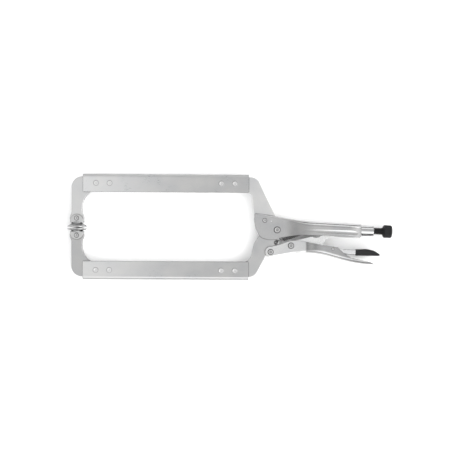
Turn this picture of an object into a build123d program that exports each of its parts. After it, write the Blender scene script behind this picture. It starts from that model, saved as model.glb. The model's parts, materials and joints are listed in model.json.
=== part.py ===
"""Locking C clamp with deep channel arms and swivel pads, lying on its side.

Millimetres. The origin is the centre of the fixed pad's clamping face. +X runs back
along the throat towards the handles, +Y towards the fixed arm, and +Z is square to the
plane in which the jaws move. The clamp is modelled locked, with the pads almost closed.
"""

import os
from math import cos, radians, sin, sqrt, tan

from build123d import *

# Stock and fits
PLATE = 7.8  # thickness of the four jaw plates
SHEET = 2.0  # thickness of the arms' and handles' pressed sheet
SIDE_GAP = 0.2  # between a jaw plate and a handle wall, on each side
PIVOT_GAP = 0.05  # radial clearance of a turning pivot
HALF_PLATE = PLATE / 2
HALF_SLOT = HALF_PLATE + SIDE_GAP
HALF_NECK = HALF_SLOT + SHEET  # half the width of the handles at the jaws

# Pads
PAD_GAP = 2.1  # between the two clamping faces
PAD_RADIUS = 13.5
PAD_EAR = 9.2  # radius of the pad's two ears
PAD_EAR_DROP = 3.7  # from the pad's rivet to the centre of that radius, towards the face
FIXED_PAD_RIVET = 12.2  # height of the pad's rivet above its clamping face
MOVING_PAD_RIVET = 9.8
PAD_BOSS = 10.0  # radius of the jaw tip's round end
BOSS_END = 2.15  # the lowest the boss reaches above the clamping face
PAD_RIVET = 2.0

# Arms
ARM_FRONT, ARM_REAR = 8.6, 241.0
ARM_HEIGHT = 25.6
ARM_BEND = 4.5  # outer radius of the channel's two bends
FIXED_ARM, MOVING_ARM = 49.2, -48.1  # each arm's edge on the throat side
ARM_RIVET_DROP = 12.3  # from that edge to the row of rivets
FRONT_RIVETS = (27.0, 46.0)
REAR_RIVETS = (202.4, 221.6)
ARM_RIVET, ARM_RIVET_HEAD = 2.3, 4.0
JAW_RIVET_RADIUS, JAW_RIVET_HEAD = 2.4, 3.2

# Jaw plates
TONGUE_FRONT, TONGUE_REAR = 58.0, 192.0  # how far the plates reach into the channels
TONGUE_OUTER = 4.2  # from the arm's outer edge to the plate
NECK_HALF = 7.5  # half the width of the jaw tips' necks

# Linkage
JAW_PIVOT = (280.9, -2.9)
JAW_RIVET = (263.6, 10.3)
HANDLE_PIVOT = (271.9, -33.9)
LINK_PIVOT = (300.4, -24.9)
RELEASE_PIVOT = (358.6, -29.3)
SPRING_HOLE, SPRING_HOLE_RADIUS = (280.9, -19.5), 1.6
JAW_PIN, JAW_PIN_HEAD = 3.6, 4.6  # shank and head radii of the pivots
HANDLE_PIN, HANDLE_PIN_HEAD = 3.2, 4.1
LINK_PIN, LINK_PIN_HEAD = 3.2, 4.3
RELEASE_PIN, RELEASE_PIN_HEAD = 1.6, 2.0
HUB = 11.0  # radius of the moving jaw's hub
HUB_GAP = 0.6

# Fixed handle
WEB_START = 279.6  # the closed back of the handle begins here
HANDLE_END = 398.5  # and turns into the round nose here
HANDLE_HALF = 8.9  # half its width along the grip
HANDLE_FLARE = 292.0  # the walls are flat up to here, and flare out behind
NECK_STATIONS = (244, 278, HANDLE_FLARE)
GRIP_STATIONS = (HANDLE_FLARE, 294, 298, 304, 310, 316, 324, 335, 350, 365, 378, 386, 393, HANDLE_END)
NOSE_RADIUS, NOSE_END = 7.3, 416.3
FLUTE_RADIUS = 8.0  # of the shallow groove pressed into each side of the grip
FLUTE_START, FLUTE_LENGTH = 318.0, 78.0
STAKES = ((273.1, 9.0),)  # punch marks that hold the jaw plate

# Adjusting screw
SCREW_SLOPE = -2.0  # degrees
SCREW_AT = (NOSE_END, -3.8)  # a point on its axis
SCREW_RADIUS = 4.85
SCREW_TIP = 377.4
HEAD_RADIUS, HEAD_START, HEAD_END = 9.0, 429.4, 442.2
STUB_RADIUS, STUB_LENGTH = 3.0, 8.0

# Lower handle
LOWER_HALF = 9.5
LOWER_WEB_START = 282.0
LOWER_END = 418.4
LOWER_STATIONS = 17
LOWER_FLARE = 318.0
LOWER_BELLY = (
    (259, -44.6), (282, -39.9), (303, -36.0), (321, -34.3), (343, -36.6), (371, -43.9), (397, -49.2),
    (419, -51.0),
)
EAR = 7.7

# Toggle link, release lever and spring
LINK_HALF = 3.0
LEVER_HALF = 3.5
GRIP_HALF = 6.2
HEAD_GAP = 0.3
SPRING_RADIUS = 2.75
SPRING_START, SPRING_END = (289.0, -16.9), (323.0, -5.0)

os.makedirs("parts", exist_ok=True)


def save(builder, name):
    builder.part.label = name
    export_step(builder.part, f"parts/{name}.step")


def outline(corners):
    """Fill the closed outline through (x, y, corner radius) points."""
    with BuildLine() as edge:
        FilletPolyline(*[(x, y) for x, y, _ in corners], radius=[r for *_, r in corners], close=True)
    make_face(edge.edges())


def ease(value, start, end):
    """A smooth step from 0 at start to 1 at end."""
    t = min(max((value - start) / (end - start), 0), 1)
    return t * t * (3 - 2 * t)


def rivet(name, place, shank, head, grip, rise, dimple=0.0):
    """A rivet along Z with a low domed head on each side, dimpled by the setting tool."""
    x, y = place
    with BuildPart() as body:
        with BuildSketch(Plane(origin=(x, y, 0), x_dir=(1, 0, 0), z_dir=(0, -1, 0))):
            with BuildLine():
                Polyline((0, 0), (shank, 0), (shank, grip), (head, grip), (head, grip + rise * 0.35))
                crown = (head * 0.62, grip + rise)
                ThreePointArc((head, grip + rise * 0.35), (head * 0.9, grip + rise * 0.78), crown)
                Polyline(crown, (head * 0.5, grip + rise), (head * 0.38, grip + rise - dimple))
                Polyline((head * 0.38, grip + rise - dimple), (0, grip + rise - dimple), (0, 0))
            make_face()
        revolve(axis=Axis((x, y, 0), (0, 0, 1)))
        mirror(about=Plane.XY)
    save(body, name)


def hole(place, radius):
    """Cut a hole along Z through the part being built."""
    with Locations(place):
        Cylinder(radius, 60, mode=Mode.SUBTRACT)


def flatten(end):
    """Plane the outer faces of a pressed handle's walls flat, from the jaws back to x = end."""
    reach, depth = 60, 10
    with Locations([(end - reach / 2, 0, face * (HALF_NECK + depth / 2)) for face in (1, -1)]):
        Box(reach, 200, depth, mode=Mode.SUBTRACT)


def soften(builder, radius, z):
    """Round the outline edges of both faces of a flat piece, at heights z and -z."""
    fillet(builder.edges().filter_by(lambda e: abs(abs(e.center().Z) - z) < 1e-3), radius)


# The two arms ------------------------------------------------------------------------


def arm_channel(name, side, edge):
    """A pressed U channel, open towards the throat, with four rivet holes."""
    half = HALF_PLATE + SHEET
    outer = edge + side * ARM_HEIGHT
    inner = outer - side * SHEET
    bend = ARM_BEND - SHEET
    with BuildPart() as channel:
        with BuildSketch(Plane.YZ.offset(ARM_FRONT)):
            outline([
                (edge, half, 0), (outer, half, ARM_BEND), (outer, -half, ARM_BEND), (edge, -half, 0),
                (edge, -HALF_PLATE, 0), (inner, -HALF_PLATE, bend), (inner, HALF_PLATE, bend),
                (edge, HALF_PLATE, 0),
            ])
        extrude(amount=ARM_REAR - ARM_FRONT)
        for x in FRONT_RIVETS + REAR_RIVETS:
            hole((x, edge + side * ARM_RIVET_DROP), ARM_RIVET)
    save(channel, name)


def arm_rivets(arm, side, edge):
    for end, places in (("front", FRONT_RIVETS), ("rear", REAR_RIVETS)):
        for number, x in enumerate(places, 1):
            place = (x, edge + side * ARM_RIVET_DROP)
            name = f"{arm}_{end}_rivet_{number}"
            rivet(name, place, ARM_RIVET, ARM_RIVET_HEAD, HALF_PLATE + SHEET, 0.3, 0.2)


# Jaw tips and pads -------------------------------------------------------------------


def jaw_tip(name, side, edge, boss_y, boss_end):
    """The forged plate that carries a pad: a tongue in the channel, a neck and a boss."""
    outer = edge + side * (ARM_HEIGHT - TONGUE_OUTER)
    inner = edge + side * 5.2
    with BuildPart() as tip:
        with BuildSketch() as face:
            outline([
                (-NECK_HALF, boss_y, 0), (-NECK_HALF, outer, 15), (TONGUE_FRONT, outer, 3),
                (TONGUE_FRONT, inner, 3), (NECK_HALF, inner, 27.4), (NECK_HALF, boss_y, 0),
            ])
            with Locations((0, boss_y)):
                Circle(PAD_BOSS)
            shoulder = sqrt(PAD_BOSS**2 - NECK_HALF**2)
            shoulders = face.vertices().filter_by(
                lambda v: abs(abs(v.Y - boss_y) - shoulder) < 0.01 and abs(abs(v.X) - NECK_HALF) < 0.01
            )
            fillet(shoulders, 9)
            with Locations((0, boss_end - side * PAD_BOSS)):
                Rectangle(3 * PAD_BOSS, 2 * PAD_BOSS, mode=Mode.SUBTRACT)
        extrude(amount=HALF_PLATE, both=True)
        soften(tip, 0.7, HALF_PLATE)
        hole((0, boss_y), PAD_RIVET + PIVOT_GAP)
        for x in FRONT_RIVETS:
            hole((x, edge + side * ARM_RIVET_DROP), ARM_RIVET)
    save(tip, name)


def pad(name, side, face_y, rivet_height, waist):
    """A round swivel pad: a flanged face, and two ears that straddle the jaw tip."""
    rivet_y = face_y + side * rivet_height
    ear_y = rivet_y - side * PAD_EAR_DROP
    floor = 1.4  # of the slot for the jaw tip
    ear_z = HALF_SLOT + SHEET
    with BuildPart() as body:
        with BuildSketch():
            outline([
                (0, face_y, 0), (PAD_RADIUS, face_y, 0.3), (PAD_RADIUS, face_y + side * 1.3, 0.4),
                (8.2, face_y + side * (waist - 1.2), 2), (7.6, face_y + side * (waist + 0.4), 0),
                (0, face_y + side * (waist + 0.4), 0),
            ])
        revolve(axis=Axis.Y)
        with BuildSketch():
            with Locations((0, (ear_y + face_y + side * waist) / 2)):
                Rectangle(2 * PAD_EAR, abs(ear_y - face_y - side * waist))
            with Locations((0, ear_y)):
                Circle(PAD_EAR)
            with Locations((0, face_y + side * (waist - PAD_EAR))):
                Rectangle(4 * PAD_EAR, 2 * PAD_EAR, mode=Mode.SUBTRACT)
        extrude(amount=ear_z, both=True)
        with BuildSketch():
            with Locations((0, face_y + side * (floor + 20))):
                Rectangle(60, 40)
        extrude(amount=HALF_SLOT, both=True, mode=Mode.SUBTRACT)
        rims = body.edges().filter_by(GeomType.CIRCLE).filter_by(
            lambda e: abs(abs(e.center().Z) - ear_z) < 0.01
        )
        fillet(rims, 0.6)
        hole((0, rivet_y), PAD_RIVET)
    save(body, name)
    rivet(f"{name}_rivet", (0, rivet_y), PAD_RIVET, 3.3, ear_z, 0.9, 0.3)


# Rear jaw plates ---------------------------------------------------------------------


def fixed_jaw_plate():
    """The plate riveted between the fixed handle's walls, cut away round the jaw hub."""
    outer = FIXED_ARM + ARM_HEIGHT - TONGUE_OUTER
    with BuildPart() as plate:
        with BuildSketch():
            outline([
                (TONGUE_REAR, FIXED_ARM + 0.5, 2), (244.9, FIXED_ARM + 0.5, 8), (248.9, 16, 30),
                (250.9, -1, 25), (255.0, -9.4, 1), (272, -4.6, 0), (284, 8, 0), (291, 8.6, 1),
                (291, 11.4, 1), (279.2, 13.6, 0), (279.2, 16, 0), (252.4, outer, 14),
                (TONGUE_REAR, outer, 2),
            ])
            with Locations(JAW_PIVOT):
                Circle(HUB + HUB_GAP, mode=Mode.SUBTRACT)
        extrude(amount=HALF_PLATE, both=True)
        soften(plate, 0.7, HALF_PLATE)
        hole(JAW_RIVET, JAW_RIVET_RADIUS)
        for x in REAR_RIVETS:
            hole((x, FIXED_ARM + ARM_RIVET_DROP), ARM_RIVET)
    save(plate, "fixed_jaw_plate")


def moving_jaw_plate():
    """The plate that turns on the jaw pivot, and carries the lower handle and the spring."""
    outer = MOVING_ARM - ARM_HEIGHT + TONGUE_OUTER
    with BuildPart() as plate:
        with BuildSketch():
            outline([
                (TONGUE_REAR, MOVING_ARM - 0.5, 2), (242.6, MOVING_ARM - 0.5, 13), (248.3, -22.5, 25),
                (256.0, -10.9, 1), (272, -6.4, 0), (283.6, -8, 0), (283.6, -26.5, 2),
                (278, -31, 0), (267.6, -35, 0), (249.4, outer, 14), (TONGUE_REAR, outer, 2),
            ])
            with Locations(HANDLE_PIVOT):
                Circle(6.8)
            with Locations(JAW_PIVOT):
                Circle(HUB)
        extrude(amount=HALF_PLATE, both=True)
        soften(plate, 0.7, HALF_PLATE)
        hole(JAW_PIVOT, JAW_PIN + PIVOT_GAP)
        hole(HANDLE_PIVOT, HANDLE_PIN + PIVOT_GAP)
        hole(SPRING_HOLE, SPRING_HOLE_RADIUS)
        for x in REAR_RIVETS:
            hole((x, MOVING_ARM - ARM_RIVET_DROP), ARM_RIVET)
    save(plate, "moving_jaw_plate")


# Fixed handle ------------------------------------------------------------------------


def back_line(x):
    """Height of the fixed handle's back: two straight runs, smoothly joined."""
    front = 16.3 - 0.185 * (x - 278)
    rear = 6.1 - 0.05 * (x - 391)
    return (front + rear) / 2 + sqrt(((front - rear) / 2) ** 2 + 0.3)


def handle_half(x):
    """Half the fixed handle's width: narrow at the jaws, wide along the grip."""
    flare = (HANDLE_HALF - HALF_NECK) * ease(x, HANDLE_FLARE, 318)
    return HALF_NECK + flare - (HANDLE_HALF - NOSE_RADIUS) * ease(x, 384, 402)


def handle_shell(skin, mode):
    """Loft the handle's closed back: straight at the jaws, flowing along the grip.

    The whole section is shrunk inwards by skin.
    """
    with BuildPart(mode=Mode.PRIVATE) as shell:
        for stations, straight in ((NECK_STATIONS, True), (GRIP_STATIONS, False)):
            for x in stations:
                half = handle_half(x) - skin
                top = back_line(x) - skin
                bend = 2.6 + 4.2 * ease(x, HANDLE_FLARE, 326) - skin * 0.9
                with BuildSketch(Plane.YZ.offset(x)):
                    outline([(-40, half, 0), (top, half, bend), (top, -half, bend), (-40, -half, 0)])
            loft(ruled=straight)
    add(shell.part, mode=mode)


def screw_plane(x):
    """A plane square to the screw's axis where it passes x."""
    slope = radians(SCREW_SLOPE)
    y = SCREW_AT[1] + (x - SCREW_AT[0]) * tan(slope)
    return Plane(origin=(x, y, 0), z_dir=(cos(slope), sin(slope), 0))


def fixed_handle():
    """The pressed handle: two lobes at the jaws, a flared grip, and a rolled nose."""
    with BuildPart() as handle:
        handle_shell(0, Mode.ADD)
        with BuildSketch():
            outline([
                (250.2, 20.0, 1), (WEB_START, back_line(WEB_START), 0), (WEB_START, 40, 0), (430, 40, 0),
                (430, -10.9, 0),
                (399, -10.9, 1.5), (396.5, -13.3, 1.5), (372, -12.7, 60), (348, -10.1, 60),
                (311, -9.8, 30), (284, -13.9, 4), (281, -16.3, 3), (268, -16.9, 25), (257, -13.2, 12),
                (250.6, -1, 25), (248.6, 14, 20),
            ])
        extrude(amount=30, both=True, mode=Mode.INTERSECT)
        with BuildSketch():
            outline([(240, -40, 0), (WEB_START, -40, 0), (WEB_START, 40, 0), (240, 40, 0)])
        extrude(amount=HALF_SLOT, both=True, mode=Mode.SUBTRACT)
        handle_shell(SHEET, Mode.SUBTRACT)
        with BuildSketch(screw_plane(397.0)):
            Circle(NOSE_RADIUS)
        extrude(amount=NOSE_END - 397.0)
        with BuildSketch(screw_plane(385.0)):
            Circle(SCREW_RADIUS + 0.08)
        extrude(amount=50, mode=Mode.SUBTRACT)
        with BuildSketch():
            outline([(399.5, -10.3, 0), (401.5, -7.8, 1), (413.5, -8.9, 0.6), (413.5, -10.2, 0.3)])
        extrude(amount=20, mode=Mode.SUBTRACT)
        for face in (1, -1):
            start = (FLUTE_START, -3.2, face * (HANDLE_HALF + FLUTE_RADIUS))
            with BuildSketch(Plane(origin=start, z_dir=(78, -4.4, face * -1.0))):
                Circle(FLUTE_RADIUS)
            extrude(amount=FLUTE_LENGTH, mode=Mode.SUBTRACT)
        for place in STAKES:
            with Locations((*place, HALF_NECK + 1)):
                Sphere(1.5, mode=Mode.SUBTRACT)
        hole(JAW_RIVET, JAW_RIVET_RADIUS)
        hole(JAW_PIVOT, JAW_PIN)
    save(handle, "fixed_handle")


# Lower handle and toggle link --------------------------------------------------------


def lower_half(x):
    """Half the lower handle's width: narrow at its pivots, wide along the grip."""
    flare = (LOWER_HALF - HALF_NECK) * ease(x, LOWER_FLARE, 342)
    return HALF_NECK + flare - 3.5 * ease(x, 372, 425)


def lower_shell(skin, mode):
    """Loft the lower handle's closed belly along its curve, shrunk inwards by skin."""
    with BuildLine(mode=Mode.PRIVATE):
        belly = Spline(*LOWER_BELLY)
    with BuildPart(mode=Mode.PRIVATE) as shell:
        for station in range(LOWER_STATIONS + 1):
            point = belly @ (station / LOWER_STATIONS)
            half = lower_half(point.X) - skin
            floor = point.Y + skin
            bend = 2.4 + 3.0 * ease(point.X, LOWER_FLARE, 342) - skin * 0.8
            with BuildSketch(Plane.YZ.offset(point.X)):
                outline([(20, half, 0), (floor, half, bend), (floor, -half, bend), (20, -half, 0)])
        loft()
    add(shell.part, mode=mode)


def lower_handle():
    """The pressed lower handle: two ears, a curved belly, and a tongue at its free end."""
    with BuildPart() as handle:
        lower_shell(0, Mode.ADD)
        with BuildSketch():
            outline([
                (266.0, -29.0, 0), (275.2, -25.8, 12), (285, -23.4, 20), (297.5, -18.6, 12),
                (309, -17.4, 20),
                (322.8, -19.7, 40), (343.8, -24.2, 40), (365.5, -26.8, 4), (373.5, -34.4, 6),
                (384, -41.3, 8), (400, -45.0, 20), (411, -47.2, 4), (LOWER_END, -50.6, 0.6),
                (LOWER_END, -60, 0), (LOWER_WEB_START, -60, 0), (LOWER_WEB_START, -39.9, 0),
                (277, -40.1, 0), (271, -36, 0),
            ])
            with Locations(HANDLE_PIVOT):
                Circle(EAR)
        extrude(amount=30, both=True, mode=Mode.INTERSECT)
        flatten(LOWER_FLARE)
        with BuildSketch():
            outline([(250, -60, 0), (LOWER_WEB_START, -60, 0), (LOWER_WEB_START, 0, 0), (250, 0, 0)])
        extrude(amount=HALF_SLOT, both=True, mode=Mode.SUBTRACT)
        lower_shell(SHEET, Mode.SUBTRACT)
        hole(HANDLE_PIVOT, HANDLE_PIN)
        hole(LINK_PIVOT, LINK_PIN)
        hole(RELEASE_PIVOT, RELEASE_PIN)
    save(handle, "lower_handle")


def toggle_link():
    """The link from the lower handle to the screw: a boss, a heel and a round nose."""
    with BuildPart() as link:
        with BuildSketch():
            outline([
                (294.6, -20.5, 4.4), (330.5, -11.4, 1), (332.5, -13.2, 1), (338.5, -13.0, 1.5),
                (341.5, -10.8, 3), (366.5, -2.0, 4), (374.2, -0.9, 3.4), (373.4, -8.6, 3.4),
                (362, -11.0, 10), (349.5, -15.8, 12), (344.6, -22.5, 8), (344.6, -27.8, 1.5),
                (330, -30.4, 6), (294.6, -30.5, 4.8),
            ])
        extrude(amount=LINK_HALF, both=True)
        soften(link, 0.6, LINK_HALF)
        hole(LINK_PIVOT, LINK_PIN + PIVOT_GAP)
    save(link, "toggle_link")


def release_lever():
    """The lever that breaks the toggle, and the dipped grip on its tail."""
    with BuildPart() as lever:
        with BuildSketch():
            outline([
                (341.5, -30.5, 0.8), (352.5, -26.8, 4), (362.5, -25.9, 4), (375, -30.1, 12),
                (390, -30.5, 20),
                (416, -31.6, 4), (421.5, -36.0, 1.5), (378, -36.9, 6), (366, -33.6, 4), (341.5, -33.6, 0.8),
            ])
        extrude(amount=LEVER_HALF, both=True)
        soften(lever, 1.2, LEVER_HALF)
        hole(RELEASE_PIVOT, RELEASE_PIN + PIVOT_GAP)
    save(lever, "release_lever")
    with BuildPart() as grip:
        with BuildSketch():
            outline([
                (391.5, -29.7, 0.8), (408, -29.3, 18), (417.5, -31.6, 14), (425.2, -36.6, 1.5),
                (424.4, -38.8, 0.9), (391.5, -38.4, 0.8),
            ])
        extrude(amount=GRIP_HALF, both=True)
        soften(grip, 0.7, GRIP_HALF)
        add(lever.part, mode=Mode.SUBTRACT)
    save(grip, "release_lever_grip")


# Screw and spring --------------------------------------------------------------------


def screw():
    """The adjusting screw's shaft, and its knurled head that turns on the shaft's stub."""
    run = 1 / cos(radians(SCREW_SLOPE))
    neck = (HEAD_START - SCREW_TIP) * run - HEAD_GAP
    with BuildPart(screw_plane(SCREW_TIP)) as shaft:
        Cylinder(SCREW_RADIUS, neck, align=(Align.CENTER, Align.CENTER, Align.MIN))
        chamfer(shaft.edges().sort_by(Axis.X)[0], 1.0)
        with Locations((0, 0, neck)):
            Cylinder(STUB_RADIUS, STUB_LENGTH, align=(Align.CENTER, Align.CENTER, Align.MIN))
    save(shaft, "adjusting_screw")
    length = (HEAD_END - HEAD_START) * run
    with BuildPart(screw_plane(HEAD_START)) as head:
        Cylinder(HEAD_RADIUS, length, align=(Align.CENTER, Align.CENTER, Align.MIN))
        fillet(head.edges().filter_by(GeomType.CIRCLE), 2.2)
        Cylinder(
            STUB_RADIUS + PIVOT_GAP, STUB_LENGTH + HEAD_GAP,
            align=(Align.CENTER, Align.CENTER, Align.MIN), mode=Mode.SUBTRACT,
        )
    save(head, "screw_head")


def spring():
    """The tension spring's outer shape, from the moving jaw to the tab in the handle."""
    (x0, y0), (x1, y1) = SPRING_START, SPRING_END
    length = sqrt((x1 - x0) ** 2 + (y1 - y0) ** 2)
    along = Plane(origin=(x0, y0, 0), z_dir=(x1 - x0, y1 - y0, 0))
    with BuildPart(along) as coil:
        Cylinder(SPRING_RADIUS, length, align=(Align.CENTER, Align.CENTER, Align.MIN))
        fillet(coil.edges().filter_by(GeomType.CIRCLE), 1.0)
    save(coil, "tension_spring")


arms = (
    ("fixed", 1, FIXED_ARM, 0.0, FIXED_PAD_RIVET, 6.0),
    ("moving", -1, MOVING_ARM, -PAD_GAP, MOVING_PAD_RIVET, 4.4),
)
for arm, side, edge, face_y, rivet_height, waist in arms:
    arm_channel(f"{arm}_arm_channel", side, edge)
    arm_rivets(arm, side, edge)
    jaw_tip(f"{arm}_jaw_tip", side, edge, face_y + side * rivet_height, face_y + side * BOSS_END)
    pad(f"{arm}_pad", side, face_y, rivet_height, waist)
fixed_jaw_plate()
moving_jaw_plate()
fixed_handle()
lower_handle()
toggle_link()
release_lever()
screw()
spring()
rivet("fixed_jaw_rivet", JAW_RIVET, JAW_RIVET_RADIUS, JAW_RIVET_HEAD, HALF_NECK, 0.4, 0.2)
rivet("jaw_pivot_rivet", JAW_PIVOT, JAW_PIN, JAW_PIN_HEAD, HALF_NECK, 1.0, 0.4)
rivet("handle_pivot_rivet", HANDLE_PIVOT, HANDLE_PIN, HANDLE_PIN_HEAD, HALF_NECK, 1.0, 0.4)
rivet("link_rivet", LINK_PIVOT, LINK_PIN, LINK_PIN_HEAD, HALF_NECK, 1.0, 0.4)
rivet("release_pin", RELEASE_PIVOT, RELEASE_PIN, RELEASE_PIN_HEAD, LOWER_HALF, 0.3, 0.1)
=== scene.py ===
"""Looks of the locking C clamp: satin nickel plate, black oxide screw and dipped vinyl grip.

Metres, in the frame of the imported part. The clamp lies on its side on a pale floor and is
seen from straight above.
"""

import json
from math import cos, radians, sin, tau

import bpy
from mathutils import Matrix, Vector


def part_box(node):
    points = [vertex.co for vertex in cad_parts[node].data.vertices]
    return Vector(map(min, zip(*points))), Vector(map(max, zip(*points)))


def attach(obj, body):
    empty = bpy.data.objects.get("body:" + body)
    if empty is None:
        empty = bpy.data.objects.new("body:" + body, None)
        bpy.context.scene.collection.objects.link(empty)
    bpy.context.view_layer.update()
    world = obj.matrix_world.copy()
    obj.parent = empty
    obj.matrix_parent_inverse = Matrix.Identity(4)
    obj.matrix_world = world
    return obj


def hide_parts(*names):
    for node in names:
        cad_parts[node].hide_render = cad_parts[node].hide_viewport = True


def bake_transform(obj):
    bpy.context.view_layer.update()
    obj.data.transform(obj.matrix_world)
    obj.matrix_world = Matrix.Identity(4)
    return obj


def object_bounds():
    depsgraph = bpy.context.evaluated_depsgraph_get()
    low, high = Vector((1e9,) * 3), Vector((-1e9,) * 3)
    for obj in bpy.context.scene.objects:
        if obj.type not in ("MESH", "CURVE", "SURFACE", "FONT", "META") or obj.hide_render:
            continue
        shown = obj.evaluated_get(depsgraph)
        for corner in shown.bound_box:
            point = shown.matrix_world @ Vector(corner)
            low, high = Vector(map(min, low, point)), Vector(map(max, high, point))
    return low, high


MM = 0.001
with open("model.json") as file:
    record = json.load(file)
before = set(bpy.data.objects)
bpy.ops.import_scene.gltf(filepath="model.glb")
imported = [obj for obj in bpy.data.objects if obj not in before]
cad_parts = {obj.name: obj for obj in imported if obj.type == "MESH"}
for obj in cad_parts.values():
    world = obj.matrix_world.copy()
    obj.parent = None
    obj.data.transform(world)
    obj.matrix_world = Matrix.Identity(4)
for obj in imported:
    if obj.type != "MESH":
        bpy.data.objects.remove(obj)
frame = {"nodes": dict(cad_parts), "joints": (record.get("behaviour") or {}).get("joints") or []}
cad_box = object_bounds()
nodes = frame["nodes"]
joints = {joint["name"]: joint for joint in frame["joints"]}

# Adjusting screw: its axis runs to the rear, and screw_point is where the head starts
screw_axis = Vector(joints["screw_travel"]["axis"]).normalized()
screw_point = Vector(joints["knob_turn"]["pos_m"])
TURNS_OF_TRAVEL = 8
THREAD_PITCH = joints["screw_travel"]["range_m"][1] / TURNS_OF_TRAVEL
THREAD_DEPTH = 0.75 * MM
THREAD_RINGS = 10  # rings of vertices in each turn of the thread
SHAFT_SIDES = 48
SHAFT_RADIUS = 4.85 * MM
SHAFT_CORE = 3.0 * MM  # radius of the plain stub inside the head
SHAFT_STUB = 8.0 * MM
SHAFT_SHRINK = 0.02 * MM  # the drawn screw stands this far inside the CAD screw
HEAD_RADIUS = 9.0 * MM
HEAD_LENGTH = 12.8 * MM
HEAD_DOME = 2.6 * MM  # length of the rounded end
HEAD_RIM = 2.4 * MM  # how far the rounded end draws in
HEAD_SHOULDER = 3.1 * MM  # how far the shoulder draws in
KNURLS = 42
KNURL_DEPTH = 0.42 * MM

# Tension spring, between the moving jaw and the fixed handle
SPRING_FRONT = Vector((0.2890, -0.0169, 0))
SPRING_REAR = Vector((0.3230, -0.0050, 0))
SPRING_WIRE = 0.7 * MM  # radius of the wire
SPRING_COIL = 2.0 * MM  # radius of the coil, to the middle of the wire
SPRING_TURNS = 13
COIL_START = 0.3 * MM  # from SPRING_FRONT to the first coil
COIL_SHORT = 4.2 * MM  # the coils are this much shorter than the span

# Plated skin
EDGE_ROUND = 0.35 * MM
EDGE_SHADE_REACH = 0.9 * MM  # how far the painted edge shade reaches from an edge
CREVICE = 1.5 * MM  # widest gap that the painted shade darkens
HOLLOW = 7 * MM  # reach of the painted shade inside the channels and handles

# Light
OVERHEAD = 0.54  # the surroundings straight above
BANK = 3.7  # the bright bank below the overhead part
SKY_GAIN = 1.72
FLOOR_REACH = 4.0
CAMERA_HEIGHT = 1.306
CAMERA_TURN = radians(0.3)


# Node helpers ------------------------------------------------------------------------


class Shader:
    """The node tree of a material or a world, with short calls to add and link its nodes."""

    def __init__(self, owner, surface="Principled BSDF"):
        owner.use_nodes = True
        self.owner = owner
        self.tree = owner.node_tree
        self.surface = self.tree.nodes[surface]

    def add(self, kind, settings=None, **inputs):
        """A new node, with its settings made and its inputs plugged."""
        node = self.tree.nodes.new("ShaderNode" + kind)
        for key, value in (settings or {}).items():
            setattr(node, key, value)
        for key, value in inputs.items():
            self.plug(node, key, value)
        return node

    def plug(self, node, key, value):
        """Set or link an input, given its name, or the letter i and its number."""
        if key[0] == "i" and key[1:].isdigit():
            socket = node.inputs[int(key[1:])]
        else:
            socket = node.inputs[key]
        if isinstance(value, bpy.types.NodeSocket):
            self.tree.links.new(value, socket)
        else:
            socket.default_value = value

    def coordinates(self, scale=(1, 1, 1), kind="Object"):
        """The piece's own coordinates, stretched by scale."""
        place = self.add("TexCoord")
        stretch = self.add("Mapping", Vector=place.outputs[kind])
        stretch.inputs["Scale"].default_value = scale
        return stretch.outputs["Vector"]

    def noise(self, vector, scale, detail=3.0, roughness=0.5):
        node = self.add("TexNoise", Vector=vector, Scale=scale, Detail=detail, Roughness=roughness)
        return node.outputs["Fac"]

    def spread(self, value, low, high, start=0.3, end=0.7):
        """Stretch a value from start..end to low..high."""
        node = self.add("MapRange", Value=value)
        limits = (("From Min", start), ("From Max", end), ("To Min", low), ("To Max", high))
        for key, number in limits:
            node.inputs[key].default_value = number
        return node.outputs["Result"]

    def math(self, operation, first, second=0.0):
        return self.add("Math", {"operation": operation}, i0=first, i1=second).outputs[0]

    def colours(self, factor, *stops):
        """A colour ramp through (position, grey or colour) stops."""
        ramp = self.add("ValToRGB", Fac=factor)
        elements = ramp.color_ramp.elements
        while len(elements) < len(stops):
            elements.new(0.5)
        for element, (position, colour) in zip(elements, stops):
            element.position = position
            element.color = (*colour, 1)
        return ramp.outputs["Color"]

    def multiply(self, first, second, share=1.0):
        mix = self.add("Mix", {"data_type": "RGBA", "blend_type": "MULTIPLY"})
        mix.inputs[0].default_value = share
        self.tree.links.new(first, mix.inputs[6])
        self.tree.links.new(second, mix.inputs[7])
        return mix.outputs[2]

    def bump(self, height, distance, strength=1.0, normal=None):
        node = self.add("Bump", Height=height, Distance=distance, Strength=strength)
        if normal:
            self.tree.links.new(normal, node.inputs["Normal"])
        return node.outputs["Normal"]

    def finish(self, **inputs):
        """Plug the surface node's inputs, named with _ for a space, and return the owner."""
        for key, value in inputs.items():
            self.plug(self.surface, key.replace("_", " "), value)
        return self.owner


def material_shader(name):
    return Shader(bpy.data.materials.new(name))


def painted_gap_shade(shader, reach, darkest, low=0.42, high=0.86):
    """Painted shade: darker in the narrow gaps beside a neighbouring piece, and inside hollows."""
    hidden = shader.add("AmbientOcclusion", {"samples": 8, "only_local": False}, Distance=reach)
    return shader.colours(hidden.outputs["AO"], (low, (darkest,) * 3), (high, (1, 1, 1)))


def painted_edge_shade(shader, reach, darkest):
    """Painted shade along an edge: darkest where the surface turns over, less so the further the
    surface is from the edge.
    """
    turned_over = shader.add("Bevel", {"samples": 6}, Radius=reach).outputs["Normal"]
    own = shader.add("NewGeometry").outputs["Normal"]
    alike = shader.add("VectorMath", {"operation": "DOT_PRODUCT"}, i0=turned_over, i1=own)
    return shader.colours(alike.outputs["Value"], (0.80, (darkest,) * 3), (0.98, (1, 1, 1)))


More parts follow.
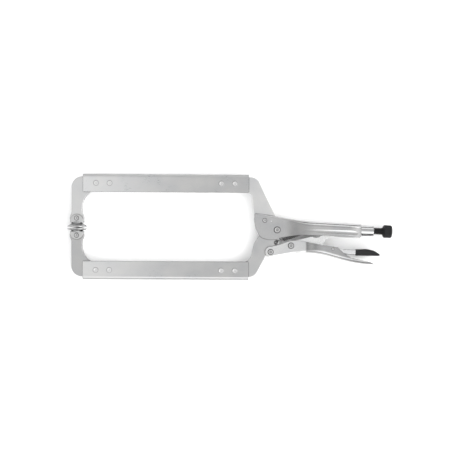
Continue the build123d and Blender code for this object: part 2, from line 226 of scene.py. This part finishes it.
def painted_light_and_shade(shader, place, light_and_shade_along_x):
    """Painted light and shade that varies along X, given as (X, share of the tone) pairs."""
    along = shader.add("SeparateXYZ", i0=place).outputs["X"]
    start, end = light_and_shade_along_x[0][0], light_and_shade_along_x[-1][0]
    stops = [((x - start) / (end - start), (share,) * 3) for x, share in light_and_shade_along_x]
    return shader.colours(shader.spread(along, 0, 1, start, end), *stops)


def plated(name, tone, grain, roughness, speckle, grit=1.0, light_and_shade_along_x=(), crevice=CREVICE):
    """Satin nickel plate on pressed steel, brushed along the long side of the piece.

    tone is the plate's own grey, and grain is the stretch of the brush marks along X, Y and
    Z. polish is painted light and shade: how much of the tone is left at places along X.
    crevice is the widest gap that the painted shade darkens.
    """
    shader = material_shader(name)
    place = shader.coordinates()
    brushed = shader.coordinates(grain)
    clouds = shader.noise(place, 38, 2, 0.55)
    marks = shader.noise(brushed, 1500, 4, 0.62)
    peel = shader.noise(place, 620, 2, 0.4)
    pits = shader.noise(place, 1900, 1, 0.5)
    warm = tuple(tone * c for c in (1.0, 0.998, 0.99))
    cool = tuple(tone * 0.93 * c for c in (0.99, 0.998, 1.01))
    base = shader.colours(clouds, (0.32, cool), (0.66, warm))
    streaks = shader.colours(marks, (0.3, (1 - speckle,) * 3), (0.62, (1, 1, 1)))
    dots = shader.colours(pits, (0.27, (0.88,) * 3), (0.36, (1, 1, 1)))
    colour = shader.multiply(shader.multiply(base, streaks), dots, 0.6)
    # Painted shade: darker in the narrow gaps beside other pieces and inside the hollows.
    colour = shader.multiply(colour, painted_gap_shade(shader, crevice, 0.10))
    colour = shader.multiply(colour, painted_gap_shade(shader, HOLLOW, 0.06, 0.06, 0.34))
    # Painted shade along the edges.
    colour = shader.multiply(colour, painted_edge_shade(shader, EDGE_SHADE_REACH, 0.28))
    # Painted light and shade along X, where it is given.
    if light_and_shade_along_x:
        colour = shader.multiply(colour, painted_light_and_shade(shader, place, light_and_shade_along_x))
    worn = shader.math("ADD", shader.spread(clouds, -0.02, 0.02), shader.spread(marks, -0.02, 0.03))
    rounded = shader.add("Bevel", {"samples": 6}, Radius=EDGE_ROUND).outputs["Normal"]
    skin = shader.bump(peel, 0.02 * MM, 0.25 * grit, rounded)
    skin = shader.bump(marks, 0.004 * MM, 0.3 * grit, skin)
    return shader.finish(
        Base_Color=colour, Metallic=1.0, Roughness=shader.math("ADD", worn, roughness), Normal=skin
    )


def riveted(name, tone, rim, dimple):
    """Rivet steel: turned rings, with painted shade as a dark dimple ring and a dark line round the
    head.
    """
    shader = material_shader(name)
    place = shader.coordinates()
    own = shader.coordinates(kind="Generated")
    centred = shader.add("VectorMath", {"operation": "SUBTRACT"}, i0=own)
    centred.inputs[1].default_value = (0.5, 0.5, 0.5)
    flat = shader.add("VectorMath", {"operation": "MULTIPLY"}, i0=centred.outputs[0])
    flat.inputs[1].default_value = (1, 1, 0)
    radius = shader.add("VectorMath", {"operation": "LENGTH"}, i0=flat.outputs[0]).outputs["Value"]
    rings = shader.math("SINE", shader.math("MULTIPLY", radius, 95.0))
    speck = shader.noise(place, 1500, 3, 0.6)
    base = shader.colours(speck, (0.3, (tone * 0.8,) * 3), (0.65, (tone,) * 3))
    # Painted shade: a dark ring for the dimple and a dark line round the edge of the head.
    painted_ring_shade = shader.colours(
        radius, (0.06, (1, 1, 1)), (0.12, (dimple,) * 3), (0.19, (dimple,) * 3),
        (0.25, (1, 1, 1)), (0.35, (1, 1, 1)), (0.42, (rim,) * 3),
    )
    # Painted shade also gathers in the narrow gaps beside the head.
    colour = shader.multiply(shader.multiply(base, painted_ring_shade), painted_gap_shade(shader, 0.9 * MM, 0.15))
    rounded = shader.add("Bevel", {"samples": 6}, Radius=0.12 * MM).outputs["Normal"]
    skin = shader.bump(rings, 0.006 * MM, 0.5, rounded)
    skin = shader.bump(speck, 0.015 * MM, 0.5, skin)
    return shader.finish(
        Base_Color=colour, Metallic=1.0, Roughness=shader.spread(speck, 0.34, 0.5), Normal=skin
    )


def black_oxide():
    """Blackened steel with a faint oily sheen and softly rounded crests."""
    shader = material_shader("black_oxide")
    place = shader.coordinates()
    blotch = shader.noise(place, 300, 3, 0.6)
    fine = shader.noise(place, 2400, 2, 0.5)
    base = shader.colours(blotch, (0.3, (0.005, 0.0052, 0.0058)), (0.7, (0.012, 0.0123, 0.0132)))
    crest = shader.add("Bevel", {"samples": 6}, Radius=0.25 * MM).outputs["Normal"]
    skin = shader.bump(fine, 0.02 * MM, 0.5, crest)
    # The colour carries painted shade in the narrow gaps.
    return shader.finish(
        Base_Color=shader.multiply(base, painted_gap_shade(shader, 0.8 * MM, 0.35)), Specular_IOR_Level=0.22,
        Roughness=shader.spread(blotch, 0.38, 0.52), Normal=skin,
    )


def black_vinyl():
    """Dipped vinyl: smooth and faintly rippled, with dust in its skin."""
    shader = material_shader("black_vinyl")
    place = shader.coordinates()
    ripple = shader.noise(place, 170, 2, 0.5)
    pores = shader.noise(place, 2600, 2, 0.5)
    base = shader.colours(pores, (0.3, (0.005, 0.005, 0.0055)), (0.75, (0.010, 0.010, 0.0105)))
    skin = shader.bump(ripple, 0.12 * MM, 0.5)
    skin = shader.bump(pores, 0.02 * MM, 0.35, skin)
    return shader.finish(
        Base_Color=base, Roughness=shader.spread(ripple, 0.40, 0.54), Normal=skin,
        Specular_IOR_Level=0.25,
    )


def spring_wire():
    """Oiled spring steel, drawn along its length."""
    shader = material_shader("spring_wire")
    place = shader.coordinates()
    drawn = shader.noise(place, 1300, 3, 0.6)
    base = shader.colours(drawn, (0.3, (0.07, 0.07, 0.075)), (0.7, (0.17, 0.165, 0.16)))
    # Painted shade in the narrow gaps.
    colour = shader.multiply(base, painted_gap_shade(shader, 0.7 * MM, 0.12))
    return shader.finish(
        Base_Color=colour, Metallic=1.0, Roughness=shader.spread(drawn, 0.28, 0.46),
        Normal=shader.bump(drawn, 0.01 * MM, 0.5),
    )


# Pieces ------------------------------------------------------------------------------


def made(name, vertices, faces, material, smooth=True):
    """A piece from its vertices and faces."""
    mesh = bpy.data.meshes.new(name)
    mesh.from_pydata([tuple(v) for v in vertices], [], faces)
    mesh.update()
    if smooth:
        mesh.shade_smooth()
    else:
        mesh.shade_flat()
    piece = bpy.data.objects.new(name, mesh)
    bpy.context.scene.collection.objects.link(piece)
    mesh.materials.append(material)
    return piece


def evaluated(source, name, material):
    """The mesh that an object ends up with, smooth shaded and in one material."""
    bpy.context.view_layer.update()
    graph = bpy.context.evaluated_depsgraph_get()
    mesh = bpy.data.meshes.new_from_object(source.evaluated_get(graph))
    mesh.name = name
    mesh.shade_smooth()
    mesh.materials.clear()
    mesh.materials.append(material)
    return mesh


def turned(name, stations, around, radius, origin, axis, material):
    """A closed body of revolution whose radius(distance, angle) may vary round the axis."""
    turn = axis.to_track_quat("Z", "Y").to_matrix()
    vertices = []
    for distance in stations:
        for step in range(around):
            angle = tau * step / around
            r = radius(distance, angle)
            vertices.append(origin + turn @ Vector((r * cos(angle), r * sin(angle), distance)))
    faces = []
    for row in range(len(stations) - 1):
        for step in range(around):
            a, b = row * around + step, row * around + (step + 1) % around
            faces.append((a, b, b + around, a + around))
    ends = ((0, -1), (len(stations) - 1, 1))
    for row, side in ends:
        vertices.append(origin + turn @ Vector((0, 0, stations[row])))
        centre = len(vertices) - 1
        for step in range(around):
            a, b = row * around + step, row * around + (step + 1) % around
            faces.append((a, b, centre) if side > 0 else (b, a, centre))
    return made(name, vertices, faces, material)


def ramp(value, start, end):
    """A smooth step from 0 at start to 1 at end."""
    t = min(max((value - start) / (end - start), 0), 1)
    return t * t * (3 - 2 * t)


def threaded_shaft(material):
    """The adjusting screw: a rolled thread with rounded crests, and a plain stub in the head."""
    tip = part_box("adjusting_screw")[0].x
    length = (screw_point.x - tip) / screw_axis.x
    origin = screw_point - screw_axis * length

    def radius(distance, angle):
        if distance > length - 0.3 * MM:
            return SHAFT_CORE
        phase = (distance / THREAD_PITCH - angle / tau) % 1
        flank = 1 - abs(2 * phase - 1)
        groove = ramp(flank, 0.12, 0.88)
        lead_in = ramp(distance, 1.2 * MM, 2.4 * MM)
        run_out = ramp(length - 0.9 * MM - distance, 0, 1 * MM)
        chamfer = max(0, 1.0 * MM - distance)
        cut = THREAD_DEPTH * lead_in * run_out
        return SHAFT_RADIUS - SHAFT_SHRINK - cut * (1 - groove) - chamfer

    steps = int(length / THREAD_PITCH * THREAD_RINGS)
    run = length - 0.31 * MM
    stations = [run * k / steps for k in range(steps + 1)]
    # The last ring of the thread and the first of the stub make the step between them
    stations += [length - 0.29 * MM, length + SHAFT_STUB - 0.2 * MM]
    return turned("threaded_shaft", stations, SHAFT_SIDES, radius, origin, screw_axis, material)


def knurled_head(material):
    """The screw's head: a chamfered shoulder, straight knurls and a domed end."""

    def radius(distance, angle):
        shoulder = HEAD_RADIUS - HEAD_SHOULDER * (1 - ramp(distance, -1.2 * MM, 2.4 * MM))
        t = min(max((distance - HEAD_LENGTH + HEAD_DOME) / HEAD_DOME, 0), 1)
        rim = HEAD_RIM * (1 - (1 - t * t) ** 0.5)
        ribbed = ramp(distance, 1.6 * MM, 2.8 * MM)
        ribbed *= ramp(HEAD_LENGTH - distance, 1.5 * MM, 2.8 * MM)
        rib = 0.5 + 0.5 * cos(KNURLS * angle)
        return shoulder - rim - KNURL_DEPTH * ribbed * (1 - rib**0.6)

    # Even rings along the head, then closer and closer ones towards its end
    stations = [HEAD_LENGTH * (k / 56) for k in range(50)]
    stations += [HEAD_LENGTH * (1 - 0.11 * (1 - k / 9) ** 2) for k in range(10)]
    return turned("knurled_head", stations, KNURLS * 8, radius, screw_point, screw_axis, material)


def coil_spring(material):
    """The tension spring: coils, a looped hook in the jaw plate and a hook in the handle."""
    along = (SPRING_REAR - SPRING_FRONT).normalized()
    side = Vector((-along.y, along.x, 0))
    up = Vector((0, 0, 1))
    length = (SPRING_REAR - SPRING_FRONT).length
    hook = (
        (283.6, -17.9, -4.3), (281.6, -18.9, -4.1), (280.9, -19.5, -2.0), (280.9, -19.5, 2.2),
        (281.2, -21.2, 4.3), (280.4, -22.7, 4.8), (278.9, -23.1, 4.8), (277.5, -22.0, 4.8),
        (277.5, -20.0, 4.8), (278.8, -18.7, 4.8), (281.0, -18.2, 4.8), (284.2, -17.8, 4.6),
        (286.6, -17.6, 3.6), (288.2, -17.2, 2.6),
    )
    points = [Vector(place) * MM for place in hook]
    each = 14  # points in a turn
    for step in range(SPRING_TURNS * each + 1):
        angle = tau * step / each
        at = COIL_START + (length - COIL_SHORT) * step / (SPRING_TURNS * each)
        points.append(
            SPRING_FRONT + along * at + (up * cos(angle) + side * sin(angle)) * SPRING_COIL
        )
    tail = ((-2.6, 1.9), (-1.2, 0.6), (0.4, 0), (1.6, -1.0), (1.6, -2.4), (0.2, -2.9))
    for x, z in tail:
        points.append(SPRING_REAR + along * (x * MM) + up * (z * MM))
    curve = bpy.data.curves.new("coil_route", "CURVE")
    curve.dimensions = "3D"
    curve.bevel_depth = SPRING_WIRE
    curve.bevel_resolution = 2
    curve.use_fill_caps = True
    spline = curve.splines.new("NURBS")
    spline.points.add(len(points) - 1)
    for point, place in zip(spline.points, points):
        point.co = (*place, 1)
    spline.order_u = 3
    spline.use_endpoint_u = True
    spline.resolution_u = 2
    route = bpy.data.objects.new("coil_route", curve)
    bpy.context.scene.collection.objects.link(route)
    mesh = evaluated(route, "coil_spring", material)
    bpy.data.objects.remove(route)
    piece = bpy.data.objects.new("coil_spring", mesh)
    bpy.context.scene.collection.objects.link(piece)
    return piece


def dipped_grip(material):
    """The vinyl sleeve: the CAD sleeve, softened all over as a dipped coat is."""
    piece = bpy.data.objects.new("dipped_grip", nodes["release_lever_grip"].data.copy())
    bpy.context.scene.collection.objects.link(piece)
    voxels = piece.modifiers.new("voxels", "REMESH")
    voxels.mode = "VOXEL"
    voxels.voxel_size = 0.35 * MM
    smooth = piece.modifiers.new("smooth", "SMOOTH")
    smooth.factor = 0.6
    smooth.iterations = 5
    softened = evaluated(piece, "dipped_grip", material)
    piece.modifiers.clear()
    piece.data = softened
    return piece


def coat(node, material):
    """Give a carried-over CAD node its material."""
    mesh = nodes[node].data
    mesh.materials.clear()
    mesh.materials.append(material)


# Studio ------------------------------------------------------------------------------


def softbox(name, place, target, size, power):
    """A rectangular area light that faces the target."""
    light = bpy.data.lights.new(name, "AREA")
    light.shape = "RECTANGLE"
    light.size, light.size_y = size
    light.energy = power
    lamp = bpy.data.objects.new(name, light)
    bpy.context.scene.collection.objects.link(lamp)
    lamp.location = place
    lamp.rotation_euler = (Vector(target) - Vector(place)).to_track_quat("-Z", "Y").to_euler()


def sky():
    """Soft studio surroundings, as the plated faces mirror them.

    The ceiling is dimmer towards -X and +Y and brighter towards +X and -Y. Below it a bank of
    light runs all round, dimmer towards -X, +Y and -Y, and whitens the floor. The horizon is
    dark, and draws the dark lines along the rounded edges.
    """
    shader = Shader(bpy.data.worlds.new("studio"), "Background")
    bpy.context.scene.world = shader.owner
    place = shader.add("TexCoord").outputs["Generated"]
    split = shader.add("SeparateXYZ", i0=place)
    x, y, z = (split.outputs[axis] for axis in "XYZ")
    ceiling = OVERHEAD
    # Each row shades the ceiling along X or Y: low up to the start, and high from the end
    for value, low, high, start, end in (
        (x, -0.40, 0.0, -0.30, -0.165), (x, 0.0, 0.30, 0.20, 0.60),
        (y, 0.75, 0.0, -0.46, -0.14), (y, 0.0, -0.16, 0.08, 0.30),
    ):
        ceiling = shader.math("ADD", shader.spread(value, low, high, start, end), ceiling)
    behind = shader.spread(y, BANK, 0.27 * BANK, 0.25, 0.65)
    in_front = shader.spread(y, -0.65 * BANK, 0.0, -0.75, -0.3)
    bank = shader.math("ADD", behind, in_front)
    bank = shader.math("MULTIPLY", bank, shader.spread(x, 0.42, 1.0, -0.5, -0.15))
    share = shader.spread(z, 1.0, 0.0, 0.68, 0.84)
    above = shader.math("MULTIPLY", ceiling, shader.math("SUBTRACT", 1.0, share))
    light = shader.math("ADD", above, shader.math("MULTIPLY", bank, share))
    horizon = shader.spread(z, 0.06, 1.0, 0.22, 0.50)
    light = shader.math("MULTIPLY", light, horizon)
    grey = shader.add("CombineColor", i0=light, i1=light, i2=light).outputs[0]
    shader.finish(Color=grey, Strength=SKY_GAIN)


def floor():
    """A pale matt floor under the lowest rim."""
    level = cad_box[0].z
    corners = [
        (x * FLOOR_REACH, y * FLOOR_REACH, level) for x, y in ((-1, -1), (1, -1), (1, 1), (-1, 1))
    ]
    shader = material_shader("floor")
    grain = shader.noise(shader.coordinates(), 40, 2, 0.5)
    tint = shader.colours(grain, (0.3, (0.925,) * 3), (0.7, (0.935,) * 3))
    material = shader.finish(Base_Color=tint, Roughness=0.9)
    plate = made("floor", corners, [(0, 1, 2, 3)], material, smooth=False)


def camera():
    """Almost straight above the middle of the clamp, and turned a little about Z."""
    middle = (cad_box[0] + cad_box[1]) / 2
    lens = bpy.data.cameras.new("camera")
    lens.sensor_width = 36
    lens.lens = 73
    eye = bpy.data.objects.new("camera", lens)
    bpy.context.scene.collection.objects.link(eye)
    eye.location = (middle.x - 1.0 * MM, middle.y - 2.6 * MM, CAMERA_HEIGHT)
    eye.rotation_euler = (0, 0, CAMERA_TURN)
    bpy.context.scene.camera = eye


# Assembly ----------------------------------------------------------------------------

# The fixed and moving arms, jaw plates and jaw tips are lit and shaded copies of one plate: the
# moving ones carry darker tones as painted shade.
lit_upper_arm = plated("fixed_arm_plate", 0.475, (0.12, 1, 1), 0.30, speckle=0.035)
shaded_lower_arm = plated("moving_arm_plate", 0.44, (0.12, 1, 1), 0.30, speckle=0.035)
lit_upper_plate = plated("fixed_jaw_plate", 0.57, (0.3, 1, 1), 0.34, speckle=0.03)
shaded_lower_plate = plated("moving_jaw_plate", 0.45, (0.3, 1, 1), 0.34, speckle=0.03)
lit_upper_tip = plated("fixed_jaw_tip", 0.43, (1, 0.3, 1), 0.34, speckle=0.03)
shaded_lower_tip = plated("moving_jaw_tip", 0.32, (1, 0.3, 1), 0.34, speckle=0.03)
# The shares along X on the two handles are painted light and shade: a little brighter at the front,
# and darker patches further back.
handle_plate = plated(
    "handle_plate", 0.50, (0.15, 1, 1), 0.20, speckle=0.03, grit=0.7,
    light_and_shade_along_x=((0.270, 1.06), (0.292, 1.0), (0.304, 0.74), (0.319, 0.76), (0.334, 1.0)),
)
lower_grip_plate = plated(
    "lower_handle_plate", 0.66, (0.15, 1, 1), 0.22, speckle=0.03,
    light_and_shade_along_x=(
        (0.290, 1.06), (0.3205, 1.0), (0.3225, 0.46), (0.331, 0.50), (0.346, 0.68),
        (0.366, 0.64), (0.392, 0.42),
    ),
)
link_plate = plated("link_plate", 0.76, (0.2, 1, 1), 0.27, speckle=0.03)
# The pads' wider crevice spreads the painted shade into the gap between them.
pad_plate = plated("pad_plate", 0.40, (0.4, 1, 1), 0.36, speckle=0.05, crevice=2.6 * MM)
steel = riveted("rivet_steel", 0.50, 0.12, 0.35)
flush_steel = riveted("flush_rivet_steel", 0.54, 0.6, 0.85)
oxide = black_oxide()
vinyl = black_vinyl()
wire = spring_wire()

# What the CAD nodes are coated with, by how their names end
finishes = {
    "fixed_arm_channel": lit_upper_arm, "moving_arm_channel": shaded_lower_arm,
    "fixed_jaw_plate": lit_upper_plate, "moving_jaw_plate": shaded_lower_plate, "fixed_jaw_tip": lit_upper_tip,
    "moving_jaw_tip": shaded_lower_tip, "pad": pad_plate, "fixed_handle": handle_plate,
    "lower_handle": lower_grip_plate, "toggle_link": link_plate, "release_lever": link_plate,
    "rivet": steel, "pin": steel, "rivet_1": flush_steel, "rivet_2": flush_steel,
}
for node in nodes:
    for ending, finish in finishes.items():
        if node.endswith(ending):
            coat(node, finish)

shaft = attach(threaded_shaft(oxide), "screw_shaft")
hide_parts("adjusting_screw")
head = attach(knurled_head(oxide), "screw_knob")
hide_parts("screw_head")
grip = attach(dipped_grip(vinyl), "release")
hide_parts("release_lever_grip")
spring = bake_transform(coil_spring(wire))
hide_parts("tension_spring")

floor()
sky()
softbox("left", (-0.33, 0.08, 1.3), (-0.33, 0.08, 0), (0.5, 1.0), 2.0)
camera()
bpy.context.scene.view_settings.view_transform = "Standard"
